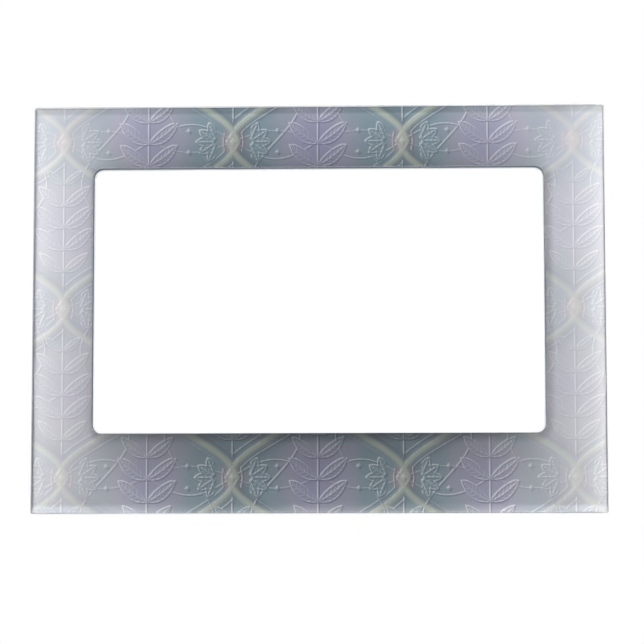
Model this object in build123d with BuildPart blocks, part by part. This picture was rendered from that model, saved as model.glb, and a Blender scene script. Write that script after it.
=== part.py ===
from build123d import *
import os

# A magnetic photo frame, in millimetres. +Z is up, +X is to the right and the front faces -Y.
# The origin is the centre of the magnet sheet's back face, which lies flat on a steel door.
# A clear panel carries a printed film behind it, a magnet sheet closes the back,
# and foam strips between them make a pocket that a photo slides into from the top.

# Photo card: a standard 6 x 4 in print
card_width = 152.4
card_height = 101.6
card_thickness = 0.3

# Room for the card in its pocket
card_face_clearance = 0.15
card_side_clearance = 0.5
card_seat_clearance = 0.1

# Window: how far the frame laps over the card's sides, and over its top and bottom
side_lap = 6.0
end_lap = 9.35
window_corner_radius = 3.0

# Rails between the window and the frame's rim
side_rail = 18.7
top_rail = 19.4
bottom_rail = 24.7

# Clear front panel, whose face falls away in a very shallow bevel along its rim
panel_thickness = 3.0
panel_corner_radius = 0.5
bevel_width = 2.4
bevel_depth = 0.12
panel_edge_radius = 0.25
cut_overrun = 1.0

# Printed film behind the panel
film_thickness = 0.2
film_setback = 0.1

# Clear sheet that closes the window, and the tape strips that hold it
window_sheet_thickness = 0.3
window_sheet_setback = 1.6
tape_thickness = 0.1
tape_width = 3.0
tape_setback = 0.4
tape_joint_gap = 0.2

# Foam strips that space the backing off the panel
spacer_setback = 0.6
spacer_joint_gap = 0.2

# Magnet sheet and its vinyl facing, with a thumb notch in their top edges
magnet_thickness = 1.0
magnet_setback = 0.4
facing_thickness = 0.15
facing_setback = 0.6
backing_corner_radius = 1.5
notch_width = 36.0
notch_depth = 18.0
notch_lip_radius = 2.0

# Sizes that follow
window_width = card_width - 2 * side_lap
window_height = card_height - 2 * end_lap
frame_width = window_width + 2 * side_rail
frame_height = window_height + top_rail + bottom_rail
window_middle = (bottom_rail - top_rail) / 2
pocket_half_width = card_width / 2 + card_side_clearance
pocket_floor = window_middle - card_height / 2 - card_seat_clearance
window_sheet_width = card_width - 2 * window_sheet_setback
window_sheet_height = card_height - 2 * window_sheet_setback
notch_radius = (notch_width**2 / 4 + notch_depth**2) / (2 * notch_depth)

# How far each layer's back lies in front of the magnet sheet's back face
facing_back = magnet_thickness
pocket_back = facing_back + facing_thickness
card_back = pocket_back + card_face_clearance
window_sheet_back = card_back + card_thickness + card_face_clearance
tape_back = window_sheet_back + window_sheet_thickness
film_back = tape_back + tape_thickness
panel_back = film_back + film_thickness
spacer_thickness = film_back - pocket_back


def layer_plane(distance):
    """The upright plane this far in front of the magnet sheet's back face, facing forwards."""
    return Plane.XZ.offset(distance)


def window_outline(margin, mode):
    """The window's round-cornered rectangle, this much larger all round."""
    with Locations((0, window_middle)):
        RectangleRounded(
            window_width + 2 * margin,
            window_height + 2 * margin,
            window_corner_radius + margin,
            mode=mode,
        )


def backing_outline(setback):
    """A round-cornered sheet this far inside the frame's rim, with the thumb notch in its top edge.
    The notch is one arc: its full width apart at the rim and its full depth down at the middle."""
    RectangleRounded(frame_width - 2 * setback, frame_height - 2 * setback, backing_corner_radius)
    with Locations((0, frame_height / 2 - notch_depth + notch_radius)):
        Circle(notch_radius, mode=Mode.SUBTRACT)
    top_corners = vertices().group_by(Axis.Y)[-1].sort_by(Axis.X)
    fillet(top_corners[1:3], radius=notch_lip_radius)


# Clear front panel: cut through, bevelled along its rim while its corners are square, then rounded there
with BuildPart() as front_panel:
    with BuildSketch(layer_plane(panel_back)):
        Rectangle(frame_width, frame_height)
        window_outline(0, Mode.SUBTRACT)
    extrude(amount=panel_thickness)
    front_face = faces().sort_by(Axis.Y)[0]
    chamfer(front_face.outer_wire().edges(), bevel_width, length2=bevel_depth, reference=front_face)
    rim_loop = edges().group_by(Axis.Y)[2]  # behind the front face's edges and the mitres
    fillet(rim_loop, radius=panel_edge_radius)
    fillet(faces().sort_by(Axis.Y)[0].inner_wires()[0].edges(), radius=panel_edge_radius)
    with BuildSketch(layer_plane(panel_back)):
        Rectangle(frame_width + 2 * cut_overrun, frame_height + 2 * cut_overrun)
        RectangleRounded(frame_width, frame_height, panel_corner_radius, mode=Mode.SUBTRACT)
    extrude(amount=panel_thickness, mode=Mode.SUBTRACT)
front_panel.part.label = "front_panel"

# Printed film on the panel's back
with BuildPart() as print_film:
    with BuildSketch(layer_plane(film_back)):
        Rectangle(frame_width - 2 * film_setback, frame_height - 2 * film_setback)
        window_outline(film_setback, Mode.SUBTRACT)
    extrude(amount=film_thickness)
print_film.part.label = "print_film"

# Clear sheet behind the window
with BuildPart() as window_sheet:
    with BuildSketch(layer_plane(window_sheet_back)):
        with Locations((0, window_middle)):
            Rectangle(window_sheet_width, window_sheet_height)
    extrude(amount=window_sheet_thickness)
window_sheet.part.label = "window_sheet"

# Tape strips near the sheet's rim: the upright ones stand between the level ones
level_strip_length = window_sheet_width - 2 * tape_setback
strips_apart = window_sheet_height - 2 * tape_setback - tape_width
upright_strip_length = strips_apart - tape_width - 2 * tape_joint_gap
with BuildPart() as window_tape:
    with BuildSketch(layer_plane(tape_back)):
        with Locations((0, window_middle)):
            with GridLocations(level_strip_length, strips_apart, 1, 2):
                Rectangle(level_strip_length, tape_width)
            with GridLocations(level_strip_length - tape_width, strips_apart, 2, 1):
                Rectangle(tape_width, upright_strip_length)
    extrude(amount=tape_thickness)
window_tape.part.label = "window_tape"

# Blank card that stands for the photo, resting on the pocket's floor
with BuildPart() as photo_card:
    with BuildSketch(layer_plane(card_back)):
        with Locations((0, window_middle)):
            Rectangle(card_width, card_height)
    extrude(amount=card_thickness)
photo_card.part.label = "photo_card"

# Foam strips: one up each side of the pocket, and one between them that is its floor
spacer_rim = frame_width / 2 - spacer_setback
spacer_foot = spacer_setback - frame_height / 2
side_strip_width = spacer_rim - pocket_half_width
side_strip_height = frame_height - 2 * spacer_setback
floor_strip_width = 2 * (pocket_half_width - spacer_joint_gap)
floor_strip_height = pocket_floor - spacer_foot

with BuildPart() as spacer_left:
    with BuildSketch(layer_plane(pocket_back)):
        with Locations((side_strip_width / 2 - spacer_rim, 0)):
            Rectangle(side_strip_width, side_strip_height)
    extrude(amount=spacer_thickness)
spacer_left.part.label = "spacer_left"

with BuildPart() as spacer_right:
    add(mirror(spacer_left.part, about=Plane.YZ, mode=Mode.PRIVATE))
spacer_right.part.label = "spacer_right"

with BuildPart() as spacer_bottom:
    with BuildSketch(layer_plane(pocket_back)):
        with Locations((0, spacer_foot + floor_strip_height / 2)):
            Rectangle(floor_strip_width, floor_strip_height)
    extrude(amount=spacer_thickness)
spacer_bottom.part.label = "spacer_bottom"

# White vinyl on the magnet sheet's inner face
with BuildPart() as magnet_facing:
    with BuildSketch(layer_plane(facing_back)):
        backing_outline(facing_setback)
    extrude(amount=facing_thickness)
magnet_facing.part.label = "magnet_facing"

# Flexible magnet sheet, whose back is the frame's seat on a steel door
with BuildPart() as magnet_sheet:
    with BuildSketch(layer_plane(0)):
        backing_outline(magnet_setback)
    extrude(amount=magnet_thickness)
magnet_sheet.part.label = "magnet_sheet"

pieces = [
    front_panel,
    print_film,
    window_sheet,
    window_tape,
    photo_card,
    spacer_left,
    spacer_right,
    spacer_bottom,
    magnet_facing,
    magnet_sheet,
]
os.makedirs("parts", exist_ok=True)
for piece in pieces:
    export_step(piece.part, f"parts/{piece.part.label}.step")
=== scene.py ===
import math

import bpy
import numpy as np
from mathutils import Matrix


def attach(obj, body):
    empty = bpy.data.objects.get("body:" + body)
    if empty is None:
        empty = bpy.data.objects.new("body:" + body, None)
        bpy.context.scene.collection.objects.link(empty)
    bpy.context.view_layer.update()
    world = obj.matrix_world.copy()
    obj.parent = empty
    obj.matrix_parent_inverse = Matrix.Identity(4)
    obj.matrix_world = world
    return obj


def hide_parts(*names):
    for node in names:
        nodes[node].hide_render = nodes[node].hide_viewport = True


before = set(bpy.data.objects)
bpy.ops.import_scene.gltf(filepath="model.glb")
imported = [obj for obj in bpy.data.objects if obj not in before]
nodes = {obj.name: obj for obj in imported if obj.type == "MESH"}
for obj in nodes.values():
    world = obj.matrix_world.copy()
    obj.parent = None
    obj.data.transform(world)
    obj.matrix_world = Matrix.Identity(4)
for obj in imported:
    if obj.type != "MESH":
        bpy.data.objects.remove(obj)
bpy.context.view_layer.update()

# Sizes are in metres, in the frame's own axes: the front faces -Y and +Z is up the frame
MM = 0.001
PLACES = 6  # the frame's sizes are read to the nearest thousandth of a millimetre


# Sizes read from the frame
def node_points(name):
    """The corners of a node's mesh in metres, one a row."""
    mesh = nodes[name].data
    points = np.empty(len(mesh.vertices) * 3)
    mesh.vertices.foreach_get("co", points)
    return points.reshape(-1, 3).round(PLACES)


def window_sizes(points):
    """The window's half width, half height, middle and corner radius, from the panel's points: those of its
    back face that lie well inside the rim are all on the window, and a straight side ends where a corner
    starts."""
    back = points[points[:, 1] == points[:, 1].max()]
    rim = back[back[:, 0] > 0.9 * back[:, 0].max()]
    inner = back[np.abs(back[:, 0]) < rim[:, 0].min()]
    x, z = inner[:, 0], inner[:, 2]
    sizes = (x.max(), (z.max() - z.min()) / 2, (z.max() + z.min()) / 2, x.max() - np.abs(x).min())
    return (round(float(size), PLACES) for size in sizes)


panel_points, film_points = node_points("front_panel"), node_points("print_film")
HALF_WIDTH, _, HALF_HEIGHT = panel_points.max(axis=0).tolist()
PANEL_FRONT = float(panel_points[:, 1].min())
FILM_FRONT, FILM_BACK = float(film_points[:, 1].min()), float(film_points[:, 1].max())
FILM_SETBACK = HALF_WIDTH - float(film_points[:, 0].max())
WINDOW_HALF_WIDTH, WINDOW_HALF_HEIGHT, WINDOW_MIDDLE, WINDOW_CORNER = window_sizes(panel_points)

# The panel's corners and edges
PANEL_CORNER = 0.5 * MM
BEVEL_WIDTH = 2.4 * MM
BEVEL_DROP = 0.12 * MM
BLEND_RADIUS = 60.0 * MM
EDGE_RADIUS = 0.25 * MM
HOLD = 0.05 * MM  # a narrow strip of flat face beside a rounded edge, which keeps the shading flat
PRESS = 0.02 * MM  # how far the panel is pressed into the film, so that no air lies between them

# Steps round a corner, round an edge and along the bevel's wide blend
CORNER_STEPS = 12
EDGE_STEPS = 6
BLEND_STEPS = 8
SHARP_ANGLE = math.radians(40)


# Meshes
def rounded_loops(half_widths, half_heights, radii, middles):
    """Rounded rectangles, one a row: four quarter circles of each radius, centred that far inside each
    corner, taken anticlockwise from the right side, with a straight run from each to the next.
    Returns x and z."""
    quarters = np.arange(4) * math.pi / 2
    turn = np.linspace(0, math.pi / 2, CORNER_STEPS + 1)
    angles = (turn[None, :] + quarters[:, None]).ravel()
    corners = quarters + math.pi / 4
    sides = np.sign([np.cos(corners), np.sin(corners)])
    side_x, side_z = (np.repeat(side, CORNER_STEPS + 1) for side in sides)
    radii = np.asarray(radii)[:, None]
    x = (np.asarray(half_widths)[:, None] - radii) * side_x + radii * np.cos(angles)
    z = (np.asarray(half_heights)[:, None] - radii) * side_z + radii * np.sin(angles)
    return x, z + np.asarray(middles)[:, None]


def closed_ring(name, x, y, z):
    """A mesh of loops joined each to the next and the last to the first, as a tube bent into a ring:
    vertex (row, column) is joined to (row + 1, column) and (row, column + 1), both counted round."""
    rows, columns = x.shape
    index = np.arange(rows * columns).reshape(rows, columns)
    beside, below = np.roll(index, -1, axis=1), np.roll(index, -1, axis=0)
    faces = np.stack([index, beside, np.roll(below, -1, axis=1), below], axis=-1).reshape(-1, 4)
    points = np.stack([x, np.broadcast_to(y, x.shape), z], axis=-1).reshape(-1, 3)
    mesh = bpy.data.meshes.new(name)
    mesh.from_pydata(points.tolist(), [], faces.tolist())
    mesh.update()
    piece = bpy.data.objects.new(name, mesh)
    bpy.context.collection.objects.link(piece)
    return piece


def edge_profile(bevel_width, bevel_drop):
    """A panel edge as (inset, drop below the front face): up the wall, round by a small arc that meets the
    wall and the bevel squarely, along the bevel, and into the flat face by a much wider arc. With no bevel,
    the small arc runs into the flat face by itself."""
    slope = math.atan2(bevel_drop, bevel_width)
    wall_run = EDGE_RADIUS * math.tan((math.pi / 2 - slope) / 2)
    blend_run = BLEND_RADIUS * math.tan(slope / 2)
    edge_turn = np.linspace(math.pi, math.pi / 2 + slope, EDGE_STEPS + 1)
    blend_turn = np.linspace(math.pi / 2 + slope, math.pi / 2, BLEND_STEPS + 1)
    wall = [[0.0], [FILM_FRONT + PRESS - PANEL_FRONT]]
    edge = [EDGE_RADIUS * (1 + np.cos(edge_turn)), bevel_drop + wall_run - EDGE_RADIUS * np.sin(edge_turn)]
    if slope:
        blend_inset = bevel_width + blend_run + BLEND_RADIUS * np.cos(blend_turn)
        blend = [blend_inset, BLEND_RADIUS * (1 - np.sin(blend_turn))]
        parts = [wall, edge, blend, [[bevel_width + blend_run + HOLD], [0.0]]]
    else:
        parts = [wall, edge, [[edge[0][-1] + HOLD], [0.0]]]
    return (np.concatenate([part[axis] for part in parts]) for axis in (0, 1))


def clear_panel():
    """The bevelled edge carried round the rim, and the plain one turned about and carried round the window.
    A corner's radius shrinks with the inset, down to a least one at the rim, and grows outward at the
    window."""
    inset, drop = edge_profile(BEVEL_WIDTH, BEVEL_DROP)
    outward, fall = (values[::-1] for values in edge_profile(0.0, 0.0))
    x, z = rounded_loops(
        np.concatenate([HALF_WIDTH - inset, WINDOW_HALF_WIDTH + outward]),
        np.concatenate([HALF_HEIGHT - inset, WINDOW_HALF_HEIGHT + outward]),
        np.concatenate([np.maximum(PANEL_CORNER - inset, HOLD), WINDOW_CORNER + outward]),
        np.concatenate([0 * inset, WINDOW_MIDDLE + 0 * outward]),
    )
    y = PANEL_FRONT + np.concatenate([drop, fall])
    piece = closed_ring("clear_panel", x, y[:, None], z)
    rows, columns = x.shape
    for face in piece.data.polygons[(rows - 2) * columns : (rows - 1) * columns]:
        face.material_index = 1  # the window's wall
    piece.data.shade_smooth()
    piece.data.set_sharp_from_angle(angle=SHARP_ANGLE)
    return piece


def printed_sheet():
    """A flat plate between two rounded rectangles: front rim, front window edge, back window edge, back
    rim."""
    outer = (HALF_WIDTH - FILM_SETBACK, HALF_HEIGHT - FILM_SETBACK, PANEL_CORNER - FILM_SETBACK, 0.0)
    inner = (
        WINDOW_HALF_WIDTH + FILM_SETBACK,
        WINDOW_HALF_HEIGHT + FILM_SETBACK,
        WINDOW_CORNER + FILM_SETBACK,
        WINDOW_MIDDLE,
    )
    x, z = rounded_loops(*zip(outer, inner, inner, outer))
    y = np.array([FILM_FRONT, FILM_FRONT, FILM_BACK, FILM_BACK])[:, None]
    return closed_ring("printed_sheet", x, y, z)


# Shader helpers
def give_inputs(tree, made, inputs):
    """Gives each input named or counted in inputs a value, or a link where it is another node's output."""
    for key, value in inputs.items():
        if isinstance(value, bpy.types.NodeSocket):
            tree.links.new(value, made.inputs[key])
        else:
            made.inputs[key].default_value = value


def add_node(tree, kind, inputs=None, **settings):
    """Adds a node, makes its settings and gives it its inputs."""
    made = tree.nodes.new("ShaderNode" + kind)
    for name, value in settings.items():
        setattr(made, name, value)
    give_inputs(tree, made, inputs or {})
    return made


def place_group(tree, group, inputs):
    """Places a node group and returns its outputs."""
    made = tree.nodes.new("ShaderNodeGroup")
    made.node_tree = group
    give_inputs(tree, made, inputs)
    return made.outputs


def maths(tree, operation, *terms):
    """One step of arithmetic on numbers or outputs."""
    return add_node(tree, "Math", dict(enumerate(terms)), operation=operation).outputs[0]


def product(tree, *terms):
    """All the terms multiplied together, in turn."""
    total = terms[0]
    for term in terms[1:]:
        total = maths(tree, "MULTIPLY", total, term)
    return total


def highest(tree, *terms):
    """The greatest of all the terms."""
    top = terms[0]
    for term in terms[1:]:
        top = maths(tree, "MAXIMUM", top, term)
    return top


def ramp(tree, value, low, high, start=0.0, end=1.0):
    """Start up to low, end past high, and a smooth step between."""
    terms = {0: value, 1: low, 2: high, 3: start, 4: end}
    return add_node(tree, "MapRange", terms, interpolation_type="SMOOTHSTEP").outputs[0]


def mix_colour(tree, factor, first, second, blend="MIX"):
    """The first colour at factor 0 and the second, or the blend of both, at 1."""
    made = add_node(tree, "Mix", {0: factor, 6: first, 7: second}, data_type="RGBA", blend_type=blend)
    return made.outputs[2]


def mix_value(tree, factor, first, second):
    """The first value at factor 0 and the second at 1."""
    return add_node(tree, "Mix", {0: factor, 2: first, 3: second}).outputs[0]


def split(tree, vector):
    """A vector's three parts."""
    made = add_node(tree, "SeparateXYZ", {0: vector})
    return made.outputs[0], made.outputs[1], made.outputs[2]


def colour(red, green, blue):
    """A screen colour, each part from 0 to 255, as linear light."""
    parts = np.array([red, green, blue]) / 255
    light = np.where(parts > 0.04045, ((parts + 0.055) / 1.055) ** 2.4, parts / 12.92)
    return (*light.tolist(), 1.0)


def new_group(name, inputs, outputs):
    """An empty shader node group with these (name, socket type) inputs and outputs."""
    tree = bpy.data.node_groups.new(name, "ShaderNodeTree")
    for in_out, sockets in (("INPUT", inputs), ("OUTPUT", outputs)):
        for socket_name, kind in sockets:
            tree.interface.new_socket(socket_name, in_out=in_out, socket_type="NodeSocket" + kind)
    return tree, tree.nodes.new("NodeGroupInput").outputs, tree.nodes.new("NodeGroupOutput").inputs


def new_material(name):
    """A material with no nodes yet, and its node tree."""
    material = bpy.data.materials.new(name)
    material.use_nodes = True
    tree = material.node_tree
    tree.nodes.clear()
    return material, tree


def finish_material(tree, shader):
    """Makes this shader the material's surface."""
    out = tree.nodes.new("ShaderNodeOutputMaterial")
    tree.links.new(shader, out.inputs["Surface"])


def millimetres(tree):
    """Object coordinates in millimetres."""
    place = add_node(tree, "TexCoord").outputs["Object"]
    return add_node(tree, "VectorMath", {0: place, "Scale": 1 / MM}, operation="SCALE").outputs[0]


# The print, whose sizes are all in millimetres
# Its lattice repeats over two columns and one row, and is the same left and right
COLUMN = 26.5
ROW = 52.5
SWING = 0.53 * COLUMN
RIBBON_HALF = 0.6
LINE_HALF = 0.36
EDGING_SETBACK = 2.3
FINE_SWING = 0.55 * SWING
GARLANDS = ((5.5, 0.85), (-3.4, 0.6))  # how far each set of level lines falls, and its height
CLASP_OUTLINE = 3.4
CLASP_REACH = 3.75
BEAD_X = 12.6
BEAD_Z = 3.4

# Sprigs: the leaves' pitch up the stem, how far below a cell's middle one pair's step starts, the leaves'
# form and how they shrink towards the stem's ends, and the stretches that have leaves and a stem
LEAF_STEP = 6.9
LEAF_START = 0.9
LEAF_FOOT = 0.3
LEAF_LENGTH = 10.6
LEAF_HALF_WIDTH = 1.75
LEAF_LEAN = math.radians(66)
LEAF_BEND = 0.022
LEAF_SHRINK = -0.0016
LEAF_SIZE = 1.06
LEAF_LEAST_SIZE = 0.35
VEIN_HALF = 0.3
LEAFY_MIDDLE = 1.0
LEAFY_HALF = 16.5
STEM_RUN = 20.0
STEM_HALF_WIDTH = 0.4

# Fans: where they spread from beside a knot, and their petals
FAN_SETBACK = 5.2
PETAL_FOOT = 0.9
PETAL_LENGTH = 5.6
PETAL_HALF_WIDTH = 1.3
PETAL_SPOKE = math.radians(34)

# Where each change of the print's tone and painted light starts and ends: out to both sides from the middle
FADE_ASIDE = (56.0, 76.0)
TINT_ASIDE = (56.0, 74.0)
LEVEL_ASIDE = (62.0, 74.0)
CORNER_ASIDE = (40.0, 70.0)

# Up from the middle
PAINTED_LIGHT_UP = (-62.0, 62.0)
BOLD_UP = (-55.0, -30.0)

# In from a rim, or out from the window: painted shade and highlight bands, painted glow and a painted dark
# edge line
TOP_SHADE_BAND = (1.6, 2.5)
FOOT_HIGHLIGHT_BAND = (1.4, 3.2)
WINDOW_SHADE = (0.6, 3.6)
WINDOW_GLOW_REACH = (0.0, 20.0)
EDGE_SHADE_LINE = (0.15, 0.5)

# Where the painted shade beside the window fades: to the right of the window's left edge, and above its top
# edge
FAINT_LEFT = (-1.3, 1.2)
FAINT_TOP = (-2.1, 0.9)

# Inks
TEAL = colour(113, 130, 139)
LAVENDER = colour(134, 135, 149)
VIOLET = colour(130, 130, 153)
PINK = colour(154, 138, 143)
PALE_GREEN = colour(157, 164, 152)
RIBBON_SHADE = colour(86, 92, 101)
HIGHLIGHT = colour(206, 210, 214)
LOWLIGHT = colour(74, 80, 93)
FILM_WHITE = colour(236, 236, 234)


def ridge(tree, distance, half):
    """One on the line where the distance is zero, falling smoothly to zero at half the ridge's width."""
    return ramp(tree, maths(tree, "ABSOLUTE", distance), 0.0, half, 1.0, 0.0)


def within(tree, value, half, soft):
    """One where the value lies less than half from zero, and zero past it, with a soft step this wide."""
    return ramp(tree, maths(tree, "ABSOLUTE", value), half - soft / 2, half + soft / 2, 1.0, 0.0)


def leaf(tree, across, along, length, half_width):
    """How far a point lies outside a leaf drawn by two arcs, from its foot at zero to its tip: the distance
    to the centre of the arc on the point's side of the midrib, less that arc's radius."""
    radius = (length**2 / 4 + half_width**2) / (2 * half_width)
    side = maths(tree, "ADD", maths(tree, "ABSOLUTE", across), radius - half_width)
    rise = maths(tree, "SUBTRACT", along, length / 2)
    squares = maths(tree, "MULTIPLY_ADD", side, side, maths(tree, "MULTIPLY", rise, rise))
    return maths(tree, "SUBTRACT", maths(tree, "SQRT", squares), radius)


def leaf_relief(tree, across, along, length, half_width, vein_step):
    """A raised outline, a midrib and slanted side veins inside it. Also returns 1 inside the leaf and 0 off
    it."""
    outside = leaf(tree, across, along, length, half_width)
    inside = ramp(tree, outside, -0.35, 0.0, 1.0, 0.0)
    slant = maths(tree, "SUBTRACT", along, maths(tree, "ABSOLUTE", across))
    veins = ridge(tree, maths(tree, "WRAP", slant, vein_step / 2, -vein_step / 2), VEIN_HALF)
    midrib = ridge(tree, across, VEIN_HALF)
    lines = maths(tree, "MAXIMUM", midrib, maths(tree, "MULTIPLY", veins, 0.55))
    body = maths(tree, "MULTIPLY_ADD", lines, 0.7, ramp(tree, outside, -1.6, 0.0, 0.5, 0.2))
    outline = ridge(tree, outside, LINE_HALF)
    drawn = maths(tree, "MAXIMUM", outline, maths(tree, "MULTIPLY", body, inside))
    return drawn, ramp(tree, outside, 0.1, 0.4, 1.0, 0.0)


def turned(tree, across, along, angle):
    """The same point measured across and along a line that leans this far from upright."""
    sine, cosine = math.sin(angle), math.cos(angle)
    first = maths(tree, "MULTIPLY_ADD", across, cosine, maths(tree, "MULTIPLY", along, -sine))
    second = maths(tree, "MULTIPLY_ADD", across, sine, maths(tree, "MULTIPLY", along, cosine))
    return first, second


def waves(tree, x, z, swing, shift=0.0):
    """Upright waving lines, one family at x = column / 2 + swing * cos(2 pi z / row + shift) and every two
    columns on, and its mirror image. Returns how far right of the nearest line of each family a point
    lies."""
    phase = maths(tree, "MULTIPLY_ADD", z, 2 * math.pi / ROW, shift)
    steep = maths(tree, "MULTIPLY", maths(tree, "SINE", phase), swing * 2 * math.pi / ROW)
    lean = maths(tree, "INVERSE_SQRT", maths(tree, "MULTIPLY_ADD", steep, steep, 1.0))
    line = maths(tree, "MULTIPLY_ADD", maths(tree, "COSINE", phase), swing, COLUMN / 2)
    right = maths(tree, "WRAP", maths(tree, "SUBTRACT", x, line), COLUMN, -COLUMN)
    left = maths(tree, "WRAP", maths(tree, "ADD", x, line), COLUMN, -COLUMN)
    return maths(tree, "MULTIPLY", right, lean), maths(tree, "MULTIPLY", left, lean)


def nearer(tree, pair):
    """The shorter of two distances, whichever side they lie on."""
    return maths(tree, "MINIMUM", *(maths(tree, "ABSOLUTE", distance) for distance in pair))


def cosines(tree, x, z):
    """Two waves that say where in the lattice a point is. Both are 1 in the middle of the cell that stands
    at the origin."""
    across = maths(tree, "COSINE", maths(tree, "MULTIPLY", x, math.pi / COLUMN))
    up = maths(tree, "COSINE", maths(tree, "MULTIPLY", z, 2 * math.pi / ROW))
    return across, up


def either(tree, choice, x, z, first, second):
    """A point's place, measured from the nearest point of one of two sets in the lattice: of the first set
    where choice is 1, and of the second where it is 0."""
    places = []
    for value, span, one, other in ((x, COLUMN, first[0], second[0]), (z, ROW / 2, first[1], second[1])):
        near = maths(tree, "WRAP", maths(tree, "SUBTRACT", value, one), span, -span)
        far = maths(tree, "WRAP", maths(tree, "SUBTRACT", value, other), span, -span)
        places.append(mix_value(tree, choice, far, near))
    return places


def sprigs(tree, cell_x, cell_z):
    """Pairs of curved leaves up an upright stem, smaller towards its ends, repeated every step up the stem.
    The stem runs on past the last leaves to where the ribbons meet. Returns their height and how far they
    cover what is drawn under them."""
    aside = maths(tree, "ABSOLUTE", cell_x)
    tile = maths(tree, "WRAP", maths(tree, "ADD", cell_z, LEAF_START), LEAF_STEP, 0.0)
    middle = maths(tree, "SUBTRACT", cell_z, maths(tree, "SUBTRACT", tile, LEAF_STEP / 2))
    shrink = maths(tree, "MULTIPLY_ADD", maths(tree, "MULTIPLY", middle, middle), LEAF_SHRINK, LEAF_SIZE)
    size = maths(tree, "MAXIMUM", shrink, LEAF_LEAST_SIZE)
    leaf_x = maths(tree, "DIVIDE", aside, size)
    leaf_z = maths(tree, "DIVIDE", maths(tree, "SUBTRACT", tile, LEAF_FOOT), size)
    across, along = turned(tree, leaf_x, leaf_z, LEAF_LEAN)
    bent = maths(tree, "MULTIPLY_ADD", maths(tree, "MULTIPLY", along, along), LEAF_BEND, across)
    drawn, cover = leaf_relief(tree, bent, along, LEAF_LENGTH, LEAF_HALF_WIDTH, 0.8 * LEAF_HALF_WIDTH)
    leafy = within(tree, maths(tree, "SUBTRACT", cell_z, LEAFY_MIDDLE), LEAFY_HALF, 0.6)
    stem = product(tree, ridge(tree, cell_x, STEM_HALF_WIDTH), 0.9, within(tree, cell_z, STEM_RUN, 1.0))
    height = maths(tree, "MAXIMUM", maths(tree, "MULTIPLY", drawn, leafy), stem)
    return height, maths(tree, "MULTIPLY", cover, leafy)


def fans(tree, knot_x, knot_z):
    """Five petals spread from a point on each side of a knot, one turned to each bearing that is a whole
    number of spokes. Returns their height and how far they cover what is drawn under them."""
    x = maths(tree, "SUBTRACT", maths(tree, "ABSOLUTE", knot_x), FAN_SETBACK)
    z = maths(tree, "ABSOLUTE", knot_z)
    bearing = maths(tree, "ARCTAN2", z, x)
    lean = maths(tree, "WRAP", bearing, PETAL_SPOKE / 2, -PETAL_SPOKE / 2)
    reach = maths(tree, "SQRT", maths(tree, "MULTIPLY_ADD", x, x, maths(tree, "MULTIPLY", z, z)))
    across = maths(tree, "MULTIPLY", reach, maths(tree, "SINE", lean))
    along = maths(tree, "MULTIPLY", reach, maths(tree, "COSINE", lean))
    along = maths(tree, "SUBTRACT", along, PETAL_FOOT)
    height, cover = leaf_relief(tree, across, along, PETAL_LENGTH, PETAL_HALF_WIDTH, PETAL_HALF_WIDTH)
    kept = maths(tree, "LESS_THAN", bearing, PETAL_SPOKE * 2.5)
    return maths(tree, "MULTIPLY", height, kept), maths(tree, "MULTIPLY", cover, kept)


def fine_lines(tree, x, z, ribbon):
    """Fine raised lines: one on each side of a ribbon, upright ones that wave between the ribbons, and two
    sets of level ones that cross them."""
    lines = ridge(tree, nearer(tree, waves(tree, x, z, FINE_SWING, math.pi / 2)), LINE_HALF)
    garland = maths(tree, "SINE", maths(tree, "MULTIPLY", maths(tree, "ABSOLUTE", x), math.pi / COLUMN))
    for fall, share in GARLANDS:
        level = maths(tree, "MULTIPLY_ADD", garland, fall, maths(tree, "ABSOLUTE", z))
        level = maths(tree, "WRAP", level, ROW / 4, -ROW / 4)
        lines = maths(tree, "MAXIMUM", lines, maths(tree, "MULTIPLY", ridge(tree, level, LINE_HALF), share))
    edging = ridge(tree, maths(tree, "SUBTRACT", ribbon, EDGING_SETBACK), LINE_HALF)
    return maths(tree, "MAXIMUM", lines, maths(tree, "MULTIPLY", edging, 0.75))


def lozenge(tree, x, z, stretch=1.0):
    """How large a lozenge about the middle reaches a point: its half height, where it is this much taller
    than wide."""
    return maths(tree, "MULTIPLY_ADD", maths(tree, "ABSOLUTE", x), stretch, maths(tree, "ABSOLUTE", z))


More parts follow.
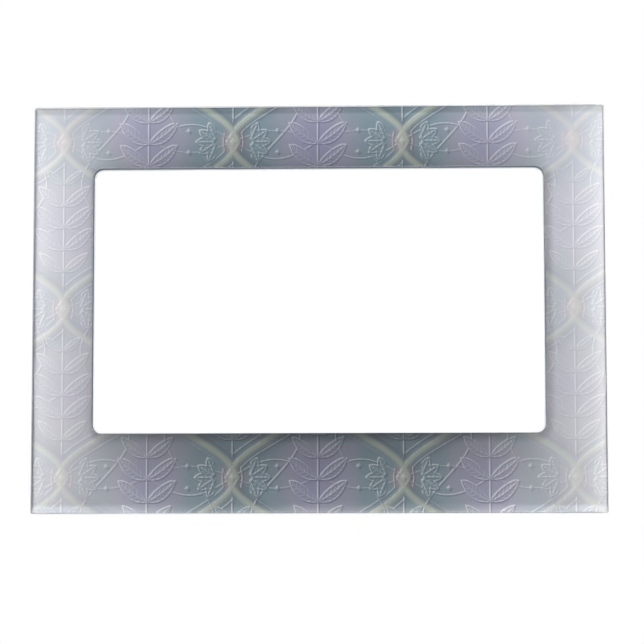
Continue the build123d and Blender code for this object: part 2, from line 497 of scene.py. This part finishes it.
def build_relief():
    """The print's drawn relief at a place in millimetres: 0 on bare ground, 1 on a leaf's outline and 1.4
    in the middle of a knot, with faint ripples added all over."""
    tree, inputs, outputs = new_group("print_relief", [("Place", "Vector")], [("Height", "Float")])
    x, _, z = split(tree, inputs["Place"])
    across, up = cosines(tree, x, z)

    # Ribbons are low rounded bands
    ribbon = nearer(tree, waves(tree, x, z, SWING))
    band = ramp(tree, ribbon, 0.3, RIBBON_HALF + 0.5, 1.0, 0.0)

    # Sprigs stand in the cells, and fans beside the knots where two ribbons meet
    cell_choice = maths(tree, "GREATER_THAN", maths(tree, "ADD", across, up), 0.0)
    cell_x, cell_z = either(tree, cell_choice, x, z, (0.0, 0.0), (COLUMN, ROW / 2))
    knot_choice = maths(tree, "GREATER_THAN", maths(tree, "SUBTRACT", across, up), 0.0)
    knot_x, knot_z = either(tree, knot_choice, x, z, (0.0, ROW / 2), (COLUMN, 0.0))
    sprig, sprig_cover = sprigs(tree, cell_x, cell_z)
    fan, fan_cover = fans(tree, knot_x, knot_z)

    # A raised lozenge with an outline clasps each knot, and small lozenges lie beside the sprigs
    diamond = lozenge(tree, knot_x, knot_z, 1.5)
    clasp_cover = within(tree, diamond, CLASP_REACH, 0.3)
    outline = ridge(tree, maths(tree, "SUBTRACT", diamond, CLASP_OUTLINE), LINE_HALF * 1.2)
    clasp = maths(tree, "MAXIMUM", ramp(tree, diamond, 0.4, 2.0, 1.4, 0.6), outline)
    clasp = maths(tree, "MULTIPLY", clasp, clasp_cover)
    bead_x = maths(tree, "SUBTRACT", maths(tree, "ABSOLUTE", cell_x), BEAD_X)
    bead_z = maths(tree, "SUBTRACT", maths(tree, "ABSOLUTE", cell_z), BEAD_Z)
    bead = ramp(tree, lozenge(tree, bead_x, bead_z), 0.2, 1.4, 0.9, 0.0)

    # The fine lines pass under the leaves, the petals and the knots
    cover = highest(tree, sprig_cover, fan_cover, clasp_cover)
    seen = maths(tree, "SUBTRACT", 0.8, maths(tree, "MULTIPLY", cover, 0.8))
    lines = maths(tree, "MULTIPLY", fine_lines(tree, x, z, ribbon), seen)
    height = highest(tree, sprig, fan, clasp, bead, lines, maths(tree, "MULTIPLY", band, 0.5))

    # Faint upright ripples run all over
    stretched = add_node(tree, "VectorMath", {0: inputs["Place"], 1: (1.0, 0.0, 0.2)}, operation="MULTIPLY")
    ripple = add_node(tree, "TexNoise", {"Vector": stretched.outputs[0], "Scale": 1.0, "Detail": 2.0})
    height = maths(tree, "MULTIPLY_ADD", ripple.outputs[0], 0.45, height)
    tree.links.new(height, outputs["Height"])
    return tree


def drawn_light(tree, place):
    """Drawn light and shade, each up to 1: how much the relief rises or falls towards the lower right, away
    from a light at the upper left, and a little light on its highest crests."""
    reach = 0.22
    relief = build_relief()
    heights = []
    for step in (reach, -reach):
        moved = add_node(tree, "VectorMath", {0: place, 1: (step, 0.0, -step)}, operation="ADD").outputs[0]
        heights.append(place_group(tree, relief, {"Place": moved})["Height"])
    rise = maths(tree, "SUBTRACT", *heights)
    crest = maths(tree, "MULTIPLY", maths(tree, "ADD", *heights), 0.5)
    lit = maths(tree, "MAXIMUM", ramp(tree, rise, 0.03, 0.9), ramp(tree, crest, 0.75, 1.5, 0.0, 0.3))
    return lit, ramp(tree, rise, -0.95, -0.03, 1.0, 0.0)


def washes(tree, place, x, z, firm):
    """Washes of colour: violet in the cells, through lavender to teal towards the ribbons, dusty pink at
    the knots, and pale green ribbons with a soft shade on their right. Where firm falls, all fade towards
    an even lavender."""
    across, up = cosines(tree, x, z)
    field = maths(tree, "MULTIPLY", across, up)
    cloud = add_node(tree, "TexNoise", {"Vector": place, "Scale": 0.07, "Detail": 3.0}).outputs[0]
    drift = maths(tree, "MULTIPLY_ADD", maths(tree, "SUBTRACT", cloud, 0.5), 1.1, field)
    lavender = mix_value(tree, firm, 0.8, ramp(tree, drift, -0.35, 0.5))
    wash = mix_colour(tree, lavender, TEAL, LAVENDER)
    violet = ramp(tree, drift, 0.1, 1.05)
    wash = mix_colour(tree, maths(tree, "MULTIPLY", violet, firm), wash, VIOLET)
    pink = ramp(tree, field, -1.0, -0.8, 0.7, 0.0)
    wash = mix_colour(tree, maths(tree, "MULTIPLY", pink, firm), wash, PINK)
    ribbons = waves(tree, x, z, SWING)
    for distance in ribbons:
        beside = ramp(tree, distance, 1.0, 5.5, 0.42, 0.0)
        right = maths(tree, "GREATER_THAN", distance, 0.0)
        wash = mix_colour(tree, product(tree, beside, right, firm), wash, RIBBON_SHADE)
    glow = ramp(tree, nearer(tree, ribbons), 0.2, RIBBON_HALF + 1.0, 0.75, 0.0)
    return mix_colour(tree, maths(tree, "MULTIPLY", glow, firm), wash, PALE_GREEN)


def window_distance(tree, x, z):
    """How far a place lies outside the window's rounded rectangle, in millimetres."""
    reach_x = (WINDOW_HALF_WIDTH - WINDOW_CORNER) / MM
    reach_z = (WINDOW_HALF_HEIGHT - WINDOW_CORNER) / MM
    out_x = maths(tree, "SUBTRACT", maths(tree, "ABSOLUTE", x), reach_x)
    level = maths(tree, "SUBTRACT", z, WINDOW_MIDDLE / MM)
    out_z = maths(tree, "SUBTRACT", maths(tree, "ABSOLUTE", level), reach_z)
    past_x = maths(tree, "MAXIMUM", out_x, 0.0)
    past_z = maths(tree, "MAXIMUM", out_z, 0.0)
    squares = maths(tree, "MULTIPLY_ADD", past_x, past_x, maths(tree, "MULTIPLY", past_z, past_z))
    return maths(tree, "SUBTRACT", maths(tree, "SQRT", squares), WINDOW_CORNER / MM)


def painted_shading(tree, x, z, aside):
    """A colour that the print is multiplied by: the light and shade painted on it, grey but for a tint at
    the sides."""
    outside = window_distance(tree, x, z)
    from_head = maths(tree, "SUBTRACT", HALF_HEIGHT / MM, z)
    from_foot = maths(tree, "ADD", HALF_HEIGHT / MM, z)
    from_left = maths(tree, "ADD", x, HALF_WIDTH / MM)

    # Painted light and shade: lighter up the print and away from the window, darker in a band along the top
    # rim
    painted_light = ramp(tree, z, *PAINTED_LIGHT_UP, 0.68, 1.12)
    near, far = WINDOW_GLOW_REACH
    painted_rim_glow = add_node(tree, "MapRange", {0: outside, 1: near, 2: far, 3: 0.7, 4: 1.26}).outputs[0]
    painted_rim_glow = mix_value(tree, ramp(tree, aside, *LEVEL_ASIDE), painted_rim_glow, 1.0)
    painted_top_shade = ramp(tree, from_head, *TOP_SHADE_BAND, 0.75, 1.0)

    # Painted shade lies beside the window, faint at its left and top, and a painted highlight along the
    # foot's corners
    past_left = maths(tree, "ADD", x, WINDOW_HALF_WIDTH / MM)
    past_top = maths(tree, "SUBTRACT", z, (WINDOW_MIDDLE + WINDOW_HALF_HEIGHT) / MM)
    faint = highest(tree, ramp(tree, past_left, *FAINT_LEFT, 1.0, 0.0), ramp(tree, past_top, *FAINT_TOP))
    shade = ramp(tree, outside, *WINDOW_SHADE, mix_value(tree, faint, 0.6, 0.95), 1.0)
    painted_foot_brightness = mix_value(tree, ramp(tree, aside, *CORNER_ASIDE), 1.0, 1.5)
    painted_foot_highlight = ramp(tree, from_foot, *FOOT_HIGHLIGHT_BAND, painted_foot_brightness, 1.0)

    # A thin dark line of painted shade runs along the rim, but for its right side, and round the window
    inward = maths(tree, "MINIMUM", from_left, maths(tree, "MINIMUM", from_head, from_foot))
    inward = maths(tree, "MINIMUM", inward, outside)
    painted_edge_line = ramp(tree, inward, *EDGE_SHADE_LINE, 0.6, 1.0)
    # All the painted light and shade, multiplied together
    painted_light = product(tree, painted_light, painted_rim_glow, painted_top_shade, shade, painted_foot_highlight, painted_edge_line)

    # There is less green and a little less blue towards the sides
    sideways = ramp(tree, aside, *TINT_ASIDE)
    green = maths(tree, "MULTIPLY", painted_light, mix_value(tree, sideways, 1.0, 0.955))
    blue = maths(tree, "MULTIPLY", painted_light, mix_value(tree, sideways, 1.0, 0.97))
    return add_node(tree, "CombineColor", {0: painted_light, 1: green, 2: blue}).outputs[0]


def printed_film():
    """The print on the film's front, and plain white on its back. The contrasts are fainter towards the
    sides, and the drawn light and shade are bolder towards the foot."""
    material, tree = new_material("printed_film")
    place = millimetres(tree)
    x, y, z = split(tree, place)
    aside = maths(tree, "ABSOLUTE", x)
    firm = ramp(tree, aside, *FADE_ASIDE, 1.0, 0.36)
    lit, shaded = drawn_light(tree, place)
    strength = maths(tree, "MULTIPLY", firm, ramp(tree, z, *BOLD_UP, 0.66, 0.5))
    drawn = washes(tree, place, x, z, firm)
    drawn = mix_colour(tree, maths(tree, "MULTIPLY", lit, strength), drawn, HIGHLIGHT)
    drawn = mix_colour(tree, maths(tree, "MULTIPLY", shaded, strength), drawn, LOWLIGHT)
    # The light and shade painted on the print multiply its colours
    drawn = mix_colour(tree, 1.0, drawn, painted_shading(tree, x, z, aside), "MULTIPLY")
    front = maths(tree, "LESS_THAN", y, (FILM_FRONT + FILM_BACK) / 2 / MM)
    paint = mix_colour(tree, front, FILM_WHITE, drawn)
    shader = add_node(
        tree, "BsdfPrincipled", {"Base Color": paint, "Roughness": 0.6, "Specular IOR Level": 0.0}
    )
    finish_material(tree, shader.outputs[0])
    return material


# The other finishes
CLEAR_TINT = (0.985, 0.99, 0.995, 1.0)
TAPE_TINT = (0.93, 0.94, 0.92, 1.0)
ACRYLIC_IOR = 1.49
COAT_ROUGHNESS = 0.165


def let_light_through(tree, shader, tint):
    """The shader as it is seen, but plainly clear to the light that falls on what is behind it."""
    clear = add_node(tree, "BsdfTransparent", {"Color": tint}).outputs[0]
    path = add_node(tree, "LightPath").outputs
    mixed = add_node(tree, "MixShader", {0: path["Is Diffuse Ray"], 1: shader, 2: clear}).outputs[0]
    return add_node(tree, "MixShader", {0: path["Is Shadow Ray"], 1: mixed, 2: clear}).outputs[0]


def clear_plastic(name, tint, roughness, coat=0.0):
    """Clear plastic that bends what is seen through it, and lets the light for what is behind it straight
    through. The coat adds a soft gloss."""
    material, tree = new_material(name)
    solid = add_node(
        tree,
        "BsdfPrincipled",
        {
            "Base Color": tint,
            "Roughness": roughness,
            "IOR": ACRYLIC_IOR,
            "Transmission Weight": 1.0,
            "Coat Weight": coat,
            "Coat Roughness": COAT_ROUGHNESS,
        },
    )
    finish_material(tree, let_light_through(tree, solid.outputs[0], tint))
    return material


def build_grain():
    """Fine grain: noise at the given scale a millimetre, stretched along X, as a value from 0 to 1."""
    tree, inputs, outputs = new_group(
        "grain", [("Place", "Vector"), ("Scale", "Float"), ("Stretch", "Float")], [("Value", "Float")]
    )
    x, y, z = split(tree, inputs["Place"])
    squeezed = maths(tree, "DIVIDE", x, inputs["Stretch"])
    joined = add_node(tree, "CombineXYZ", {0: squeezed, 1: y, 2: z}).outputs[0]
    noise = add_node(tree, "TexNoise", {"Vector": joined, "Scale": inputs["Scale"], "Detail": 3.0})
    tree.links.new(noise.outputs[0], outputs["Value"])
    return tree


grain = build_grain()


def grained(name, shades, scale, roughness, height, stretch=1.0, gloss=0.5, passes=None):
    """An opaque finish: a dark and a pale shade mixed by the grain, which also roughens it and raises it by
    this height in millimetres. With passes, light of that tint goes straight through to what is behind."""
    material, tree = new_material(name)
    inputs = {"Place": millimetres(tree), "Scale": scale, "Stretch": stretch}
    value = place_group(tree, grain, inputs)["Value"]
    spread = ramp(tree, value, 0.3, 0.7)
    shade = mix_colour(tree, spread, *(colour(*one) for one in shades))
    dull = ramp(tree, value, 0.3, 0.7, roughness - 0.06, roughness + 0.06)
    bump = add_node(tree, "Bump", {"Height": spread, "Distance": height * MM, "Strength": 1.0}).outputs[0]
    shader = add_node(
        tree,
        "BsdfPrincipled",
        {"Base Color": shade, "Roughness": dull, "Specular IOR Level": gloss, "Normal": bump},
    ).outputs[0]
    finish_material(tree, let_light_through(tree, shader, passes) if passes else shader)
    return material


def cut_acrylic_painted_shade():
    """The window's satin cut wall, dark grey as painted shade along the window's edge; light goes straight
    through it.
    """
    shades = ((98, 106, 120), (114, 122, 135))
    return grained(
        "cut_acrylic_painted_shade", shades, scale=3.0, roughness=0.5, height=0.004, gloss=0.0, passes=CLEAR_TINT
    )


def white_card():
    """The blank card in the pocket, nearly smooth."""
    shades = ((249, 249, 248), (252, 252, 251))
    return grained("white_card", shades, scale=1.5, roughness=0.5, height=0.004)


def foam_tape():
    """Off-white foam with fine pores, which holds the layers apart."""
    shades = ((214, 214, 209), (240, 240, 236))
    return grained("foam_tape", shades, scale=4.0, roughness=0.8, height=0.05)


def white_vinyl():
    """The satin white facing on the magnet's inner side."""
    shades = ((236, 236, 234), (243, 243, 241))
    return grained("white_vinyl", shades, scale=2.5, roughness=0.4, height=0.01)


def flexible_magnet():
    """Dark rubber with faint lines along its length."""
    shades = ((52, 48, 46), (68, 63, 60))
    return grained("flexible_magnet", shades, scale=1.6, roughness=0.62, height=0.03, stretch=40.0)


def finish_pieces():
    """Gives each piece its finish, and each new piece its body, and hides the node it stands for."""
    panel, film = clear_panel(), printed_sheet()
    panel.data.materials.append(clear_plastic("clear_acrylic", CLEAR_TINT, 0.0, coat=1.0))
    panel.data.materials.append(cut_acrylic_painted_shade())
    film.data.materials.append(printed_film())
    new_pieces = ((panel, "front_panel", "clear_acrylic"), (film, "print_film", "printed_film"))
    for piece, node, slot in new_pieces:
        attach(piece, "frame")
        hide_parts(node)
    foam = foam_tape()
    finishes = {
        "window_sheet": clear_plastic("clear_film", CLEAR_TINT, 0.0),
        "window_tape": clear_plastic("clear_tape", TAPE_TINT, 0.3),
        "photo_card": white_card(),
        "spacer_left": foam,
        "spacer_right": foam,
        "spacer_bottom": foam,
        "magnet_facing": white_vinyl(),
        "magnet_sheet": flexible_magnet(),
    }
    for name, finish in finishes.items():
        nodes[name].data.materials.clear()
        nodes[name].data.materials.append(finish)


finish_pieces()


# Stage, lights and camera
def stage_plate(name, corners, shader_kind, inputs):
    """A flat four-cornered plate of one plain finish."""
    mesh = bpy.data.meshes.new(name)
    mesh.from_pydata(corners, [], [(0, 1, 2, 3)])
    plate = bpy.data.objects.new(name, mesh)
    bpy.context.collection.objects.link(plate)
    material, tree = new_material(name + "_paint")
    finish_material(tree, add_node(tree, shader_kind, inputs).outputs[0])
    mesh.materials.append(material)
    return plate


def black_flag():
    """A dark wall behind the lamps and the camera, seen only in the gloss, as in a studio with black
    curtains."""
    reach, foot, head, depth = 3.5, -0.3, 4.5, -1.9
    corners = [(-reach, depth, foot), (reach, depth, foot), (reach, depth, head), (-reach, depth, head)]
    flag = stage_plate("black_flag", corners, "BsdfDiffuse", {"Color": (0.0, 0.0, 0.0, 1.0)})
    flag.visible_camera = flag.visible_diffuse = flag.visible_transmission = flag.visible_shadow = False


def pale_floor():
    """A pale floor below the camera, which takes the object's shadow."""
    reach, level = 1.5, -0.26
    sides = ((-1, -1), (1, -1), (1, 1), (-1, 1))
    corners = [(x * reach, y * reach, level) for x, y in sides]
    paint = {"Base Color": colour(246, 246, 246), "Roughness": 0.9}
    stage_plate("floor", corners, "BsdfPrincipled", paint)


black_flag()
pale_floor()


def soft_lamp(name, place, aim, width, height, power, gloss_only=False):
    """A flat lamp at place, turned to face aim, with its height as upright as that allows."""
    light = bpy.data.lights.new(name, "AREA")
    light.shape = "RECTANGLE"
    light.size, light.size_y, light.energy = width, height, power
    lamp = bpy.data.objects.new(name, light)
    bpy.context.collection.objects.link(lamp)
    lamp.location = place
    back = np.array(place, float) - np.array(aim, float)
    back /= np.linalg.norm(back)
    side = np.cross([0, 0, 1], back)
    side /= np.linalg.norm(side)
    lamp.rotation_euler = Matrix(np.column_stack([side, np.cross(back, side), back]).tolist()).to_euler()
    lamp.visible_transmission = False
    if gloss_only:
        lamp.visible_diffuse = False
        light.cycles.use_multiple_importance_sampling = False


def main_lamps():
    """Soft lamps at the upper left and right, and one behind."""
    middle = (0, 0, 0)
    for name, side in (("left_lamp", -0.85), ("right_lamp", 0.85)):
        soft_lamp(name, (side, -1.55, 0.8), middle, width=0.6, height=0.6, power=9.4)
    soft_lamp("back_lamp", (0.5, 1.4, 1.0), middle, width=1.0, height=0.8, power=20.0)


def gloss_lamps():
    """Strips level with the lens that only show in the gloss, where they veil the sides and the foot's rim.
    Each has its left, right, foot and head on that plane, and how bright it looks."""
    plane, foot, head = -0.749, -0.21, 0.33
    strips = (
        ("right_box", 0.125, 0.28, foot, head, 15.8),
        ("right_rim_box", 0.215, 0.3, foot, head, 5.0),
        ("left_box", -0.275, -0.178, foot, head, 17.8),
        ("foot_box", -0.285, 0.3, foot, foot / 2, 6.0),
    )
    for name, left, right, low, high, glow in strips:
        x, z = (left + right) / 2, (low + high) / 2
        width, height = right - left, high - low
        power = glow * math.pi * width * height
        soft_lamp(name, (x, plane, z), (x, 0.0, z), width, height, power, gloss_only=True)


main_lamps()
gloss_lamps()


def white_world():
    """White behind the object and in its reflections, and an even light on it."""
    world = bpy.data.worlds.new("studio")
    world.use_nodes = True
    bpy.context.scene.world = world
    tree = world.node_tree
    tree.nodes.clear()
    path = add_node(tree, "LightPath").outputs
    seen = highest(tree, path["Is Glossy Ray"], path["Is Transmission Ray"], path["Is Camera Ray"])
    strength = mix_value(tree, seen, 0.5, 1.0)
    background = add_node(tree, "Background", {"Color": (1, 1, 1, 1), "Strength": strength})
    out = tree.nodes.new("ShaderNodeOutputWorld")
    tree.links.new(background.outputs[0], out.inputs[0])


white_world()


def photo_camera():
    """A camera at the photograph's angle, fitted to the corners of the rim and the window seen there."""
    camera = bpy.data.objects.new("camera", bpy.data.cameras.new("camera"))
    bpy.context.collection.objects.link(camera)
    camera.data.lens = 135.0
    camera.data.sensor_width = 36.0
    camera.data.clip_start = 0.01
    yaw, pitch, roll = (math.radians(degrees) for degrees in (1.937, 5.720, 0.048))
    turn = Matrix.Rotation(yaw, 3, "Z") @ Matrix.Rotation(pitch, 3, "X") @ Matrix.Rotation(roll, 3, "Y")
    level = Matrix.Rotation(math.radians(90), 3, "X")
    camera.rotation_euler = (turn @ level).to_euler()
    camera.location = (26.36 * MM, -749.03 * MM, -78.97 * MM)
    bpy.context.scene.camera = camera


photo_camera()
bpy.context.scene.view_settings.view_transform = "Standard"
